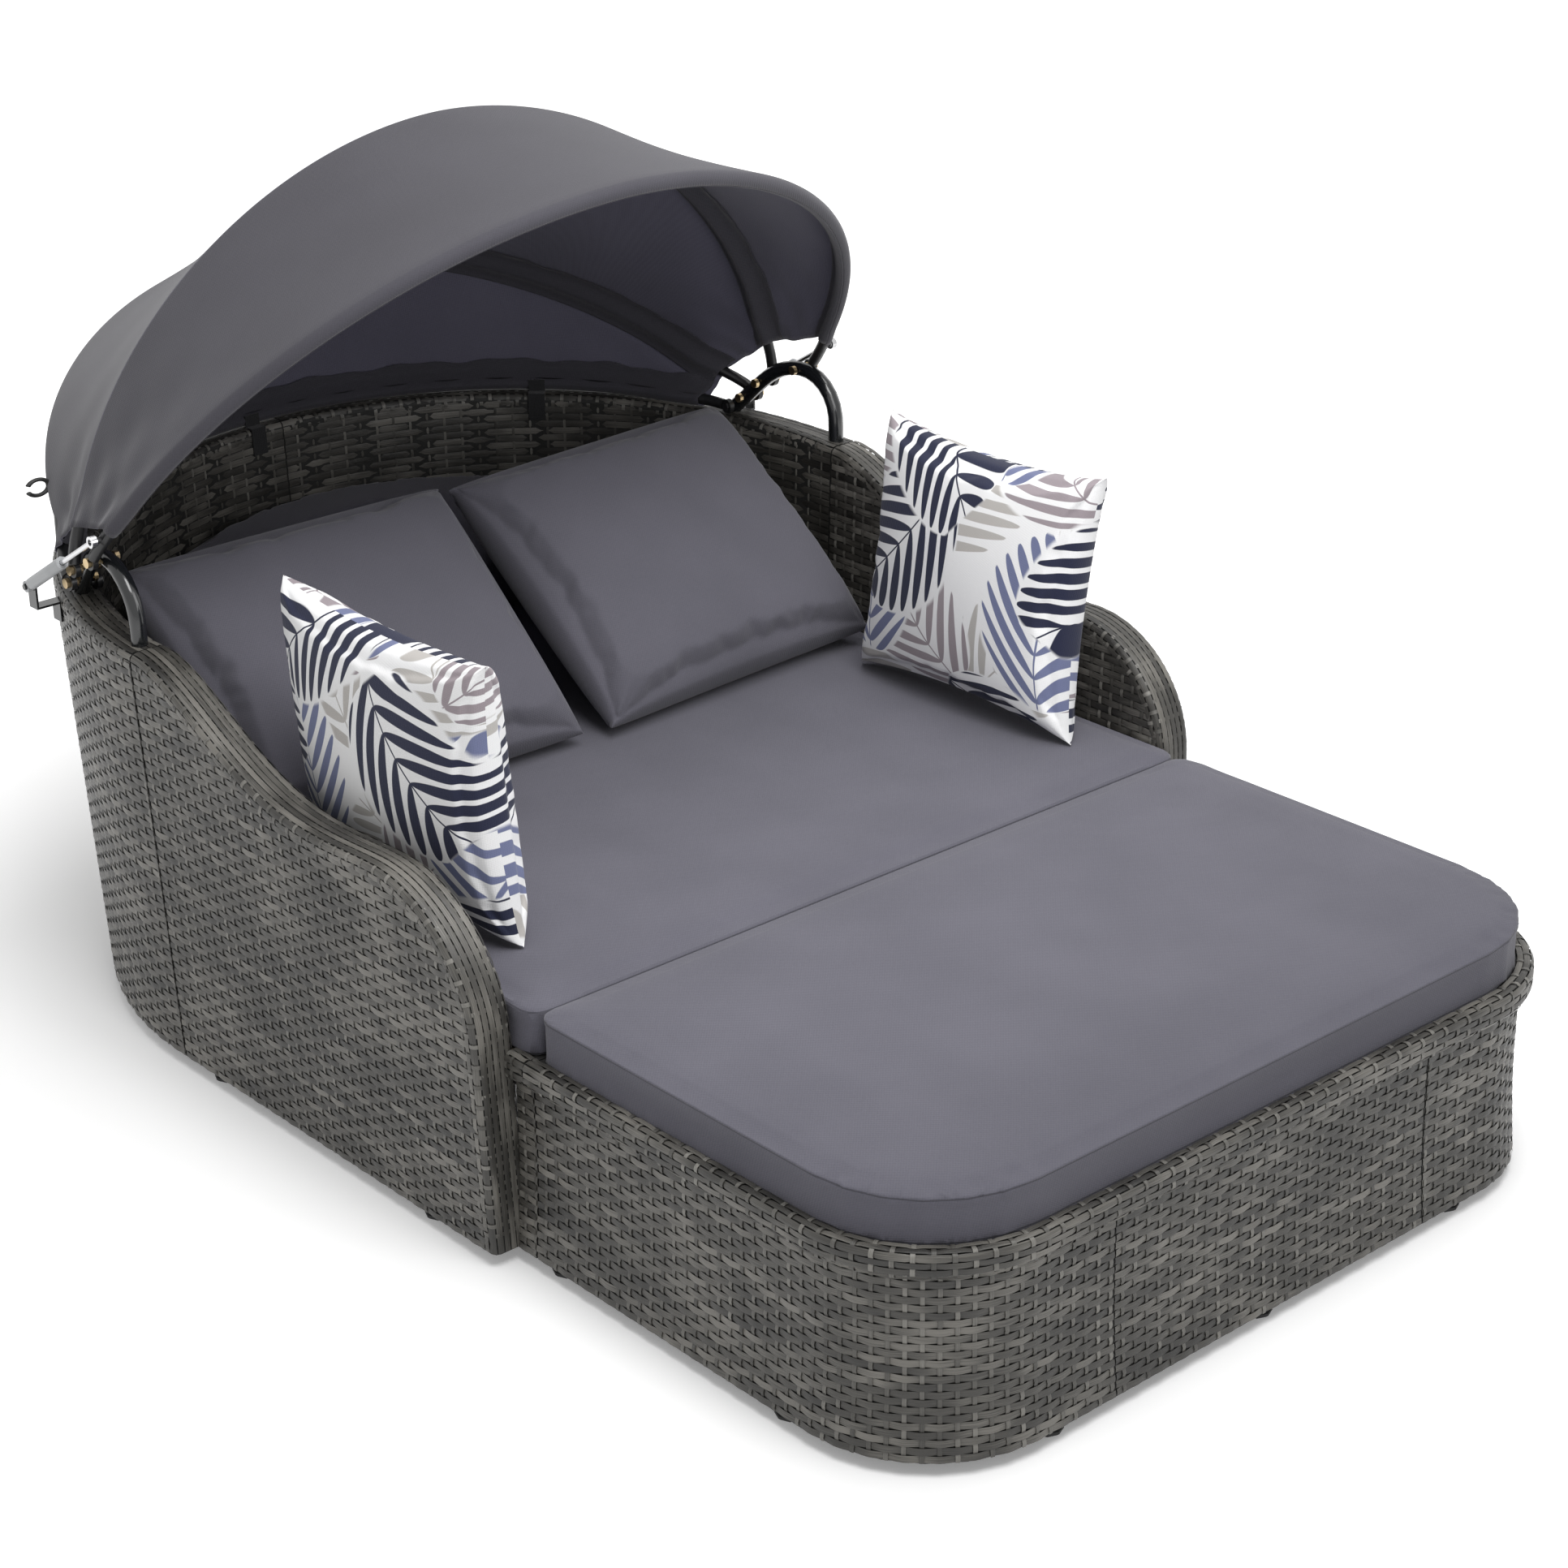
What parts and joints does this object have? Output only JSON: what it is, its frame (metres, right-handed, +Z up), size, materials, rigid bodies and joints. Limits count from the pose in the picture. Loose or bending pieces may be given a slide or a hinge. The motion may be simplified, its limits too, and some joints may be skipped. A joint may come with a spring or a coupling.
{
  "type": "outdoor daybed with canopy",
  "caption": "Woven outdoor daybed with a round back, a loose ottoman that closes the front, soft cushions and a folding fabric hood.",
  "frame": {"origin": "on the ground, at the centre of the object's box seen from above", "axes": "+Z up, +Y towards the round back, +X to the right for someone who stands at the ottoman's end and looks at the back"},
  "size_m": [1.302, 2.0804, 1.1993],
  "materials": {
    "woven_resin": "flat woven resin strand, mottled grey",
    "steel_frame": "dark powder coat",
    "deck": "flat woven resin strand",
    "glide": "black moulded",
    "cushion_cloth": "plain woven grey cover",
    "pillow_cloth": "plain woven grey cover",
    "printed_cloth": "white ground with printed leaves",
    "arch_paint": "gloss black",
    "hoop_paint": "dark powder coat",
    "plated_steel": "yellow zinc plate",
    "strut_body": "light grey gloss",
    "strut_rod": "ground and plated",
    "canopy_cloth": "plain woven grey cover",
    "strap": "black webbing"
  },
  "bodies": {
    "daybed_base": {"arm_weave_left": "woven_resin", "arm_frame_left": "steel_frame", "back_weave_left": "woven_resin", "back_frame_left": "steel_frame", "arm_glide_left_front": "glide", "arm_glide_left_rear": "glide", "back_glide_left": "glide", "arch_tube_left": "arch_paint", "front_pivot_bolt_left": "plated_steel", "middle_pivot_bolt_left": "plated_steel", "third_pivot_bolt_left": "plated_steel", "strut_bracket_left": "plated_steel", "arm_weave_right": "woven_resin", "arm_frame_right": "steel_frame", "back_weave_right": "woven_resin", "back_frame_right": "steel_frame", "arm_glide_right_front": "glide", "arm_glide_right_rear": "glide", "back_glide_right": "glide", "arch_tube_right": "arch_paint", "front_pivot_bolt_right": "plated_steel", "middle_pivot_bolt_right": "plated_steel", "third_pivot_bolt_right": "plated_steel", "strut_bracket_right": "plated_steel", "seat_apron": "woven_resin", "seat_frame": "steel_frame", "seat_deck": "deck", "seat_cushion": "cushion_cloth", "back_cushion": "cushion_cloth", "back_pillow_left": "pillow_cloth", "back_pillow_right": "pillow_cloth", "throw_pillow_left": "printed_cloth", "throw_pillow_right": "printed_cloth", "rear_hoop": "hoop_paint", "hem_strap_1": "strap", "hem_strap_2": "strap"},
    "ottoman": {"ottoman_corner_left": "woven_resin", "ottoman_corner_right": "woven_resin", "ottoman_front": "woven_resin", "ottoman_rear": "woven_resin", "ottoman_top": "woven_resin", "ottoman_frame": "steel_frame", "ottoman_glide_left_rear": "glide", "ottoman_glide_left_side": "glide", "ottoman_glide_right_rear": "glide", "ottoman_glide_right_side": "glide", "ottoman_glide_front_left": "glide", "ottoman_glide_front_middle": "glide", "ottoman_glide_front_right": "glide", "ottoman_cushion": "cushion_cloth"},
    "front_hoop": {"front_hoop": "hoop_paint", "canopy_front": "canopy_cloth"},
    "middle_hoop": {"middle_hoop": "hoop_paint", "canopy_middle": "canopy_cloth"},
    "third_hoop": {"third_hoop": "hoop_paint", "canopy_rear": "canopy_cloth"},
    "strut_cylinder_left": {"strut_cylinder_left": "strut_body"},
    "strut_rod_left": {"strut_rod_left": "strut_rod"},
    "strut_cylinder_right": {"strut_cylinder_right": "strut_body"},
    "strut_rod_right": {"strut_rod_right": "strut_rod"}
  },
  "joints": [
    {"name": "ottoman_pull_out", "type": "slide", "parent": "daybed_base", "child": "ottoman", "axis": [0, -1, 0], "range_m": [0, 0.6]},
    {"name": "canopy_fold", "type": "hinge", "parent": "daybed_base", "child": "front_hoop", "pos_m": [0, 0.47579, 0.71592], "axis": [-1, 0, 0], "range_deg": [0, 101.5], "deforming": ["canopy_front"]},
    {"name": "middle_hoop_fold", "type": "hinge", "parent": "daybed_base", "child": "middle_hoop", "pos_m": [0, 0.54836, 0.68264], "axis": [-1, 0, 0], "range_deg": [0, 73.05], "deforming": ["canopy_middle"]},
    {"name": "third_hoop_fold", "type": "hinge", "parent": "daybed_base", "child": "third_hoop", "pos_m": [0, 0.57713, 0.65486], "axis": [-1, 0, 0], "range_deg": [0, 16.55], "deforming": ["canopy_rear"]},
    {"name": "strut_swing_left", "type": "hinge", "parent": "daybed_base", "child": "strut_cylinder_left", "pos_m": [-0.642, 0.6278, 0.645], "axis": [-1, 0, 0], "range_deg": [0, 10.74]},
    {"name": "strut_stroke_left", "type": "slide", "parent": "strut_cylinder_left", "child": "strut_rod_left", "axis": [0, -0.8583, 0.5131], "range_m": [-0.0721, 0]},
    {"name": "strut_swing_right", "type": "hinge", "parent": "daybed_base", "child": "strut_cylinder_right", "pos_m": [0.642, 0.6278, 0.645], "axis": [-1, 0, 0], "range_deg": [0, 10.74]},
    {"name": "strut_stroke_right", "type": "slide", "parent": "strut_cylinder_right", "child": "strut_rod_right", "axis": [0, -0.8583, 0.5131], "range_m": [-0.0721, 0]}
  ],
  "couplings": [
    {"joint": "middle_hoop_fold", "follows": "canopy_fold", "ratio": 0.7192},
    {"joint": "third_hoop_fold", "follows": "canopy_fold", "ratio": 0.1626},
    {"joint": "strut_swing_left", "follows": "canopy_fold", "ratio": 0.1053},
    {"joint": "strut_stroke_left", "follows": "canopy_fold", "m_per_rad": -0.0406},
    {"joint": "strut_swing_right", "follows": "canopy_fold", "ratio": 0.1053},
    {"joint": "strut_stroke_right", "follows": "canopy_fold", "m_per_rad": -0.0406}
  ]
}
